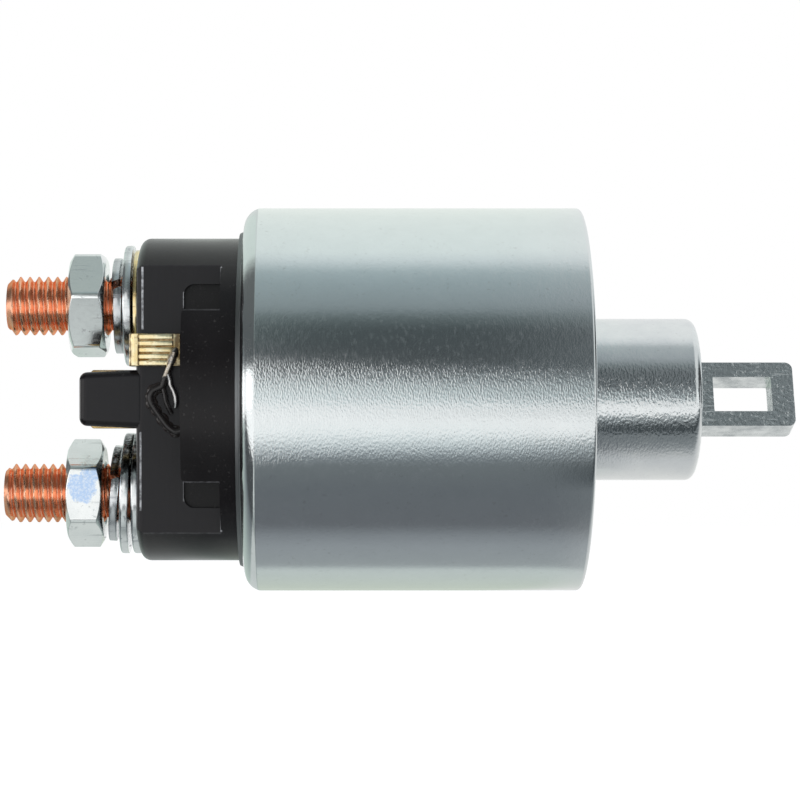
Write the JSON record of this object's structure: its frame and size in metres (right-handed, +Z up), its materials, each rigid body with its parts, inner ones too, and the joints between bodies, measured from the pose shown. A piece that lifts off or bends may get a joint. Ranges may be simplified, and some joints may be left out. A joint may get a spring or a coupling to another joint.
{
  "type": "starter solenoid relay",
  "caption": "Round solenoid with a sliding plunger and lever loop at one end, and threaded terminal studs on a black cap at the other; closes a motor's contacts when it pulls in.",
  "frame": {"origin": "centre of the can's mounting face, on the plunger's axis", "axes": "+X along the plunger, from the mounting face towards the loop; +Z up, towards the motor stud; -Y towards the cap's flat front"},
  "size_m": [0.1071, 0.052, 0.052],
  "materials": {
    "zinc_plate": "satin zinc plate",
    "phenolic": "satin moulded",
    "seal_rubber": "matt",
    "core_steel": "turned",
    "nylon": "satin moulded",
    "enamelled_wire": "glossy enamel",
    "brass_sheet": "polished",
    "copper": "bright threaded copper",
    "nut_zinc": "bright zinc plate",
    "washer_steel": "satin",
    "washer_zinc": "satin zinc plate",
    "tinned_wire": "bright tin",
    "solder": "bright",
    "varnish": "glossy",
    "spring_steel": "bright drawn",
    "loop_zinc": "satin zinc plate",
    "insulator_fibre": "matt"
  },
  "bodies": {
    "case": {"can": "zinc_plate", "terminal_cap": "phenolic", "cap_gasket": "seal_rubber", "fixed_core": "core_steel", "bobbin": "nylon", "pull_in_winding": "enamelled_wire", "hold_in_winding": "enamelled_wire", "plunger_sleeve": "brass_sheet", "motor_stud": "copper", "battery_stud": "copper", "stud_seals": "seal_rubber", "motor_nut": "nut_zinc", "battery_nut": "nut_zinc", "motor_spring_washer": "washer_steel", "battery_spring_washer": "washer_steel", "motor_flat_washer": "washer_zinc", "battery_inner_washer": "washer_zinc", "battery_outer_washer": "washer_zinc", "lead_plate": "brass_sheet", "switch_blade": "brass_sheet", "blade_rivet": "brass_sheet", "lead_wire": "tinned_wire", "solder_joint": "solder", "resin_drop": "varnish", "return_spring": "spring_steel", "contact_return_spring": "spring_steel"},
    "plunger": {"plunger": "zinc_plate", "plunger_ring": "washer_zinc", "drive_spring": "spring_steel"},
    "seat": {"spring_seat": "washer_zinc"},
    "loop": {"loop_stem": "loop_zinc"},
    "rod": {"contact_rod": "core_steel", "rod_clip": "spring_steel", "contact_spring": "spring_steel"},
    "contact": {"contact_disc": "copper", "rear_insulator": "insulator_fibre", "front_insulator": "insulator_fibre"}
  },
  "joints": [
    {"name": "plunger_travel", "type": "slide", "parent": "case", "child": "plunger", "axis": [-1, 0, 0], "range_m": [0, 0.01], "stiffness_N_per_m": 1200, "springref_m": -0.008, "deforming": ["return_spring"]},
    {"name": "rod_travel", "type": "slide", "parent": "case", "child": "rod", "axis": [-1, 0, 0], "range_m": [0, 0.0025], "deforming": ["contact_return_spring"]},
    {"name": "disc_give", "type": "slide", "parent": "rod", "child": "contact", "axis": [1, 0, 0], "range_m": [0, 0.001], "stiffness_N_per_m": 4000, "springref_m": -0.001, "deforming": ["contact_spring"]},
    {"name": "stem_give", "type": "slide", "parent": "plunger", "child": "seat", "axis": [1, 0, 0], "range_m": [0, 0.004], "stiffness_N_per_m": 6000, "springref_m": -0.003, "deforming": ["drive_spring"]},
    {"name": "loop_turn", "type": "hinge", "parent": "seat", "child": "loop", "pos_m": [0, 0, 0], "axis": [1, 0, 0], "continuous": true}
  ],
  "couplings": [
    {"joint": "rod_travel", "follows": "plunger_travel", "ratio": 0.25}
  ]
}
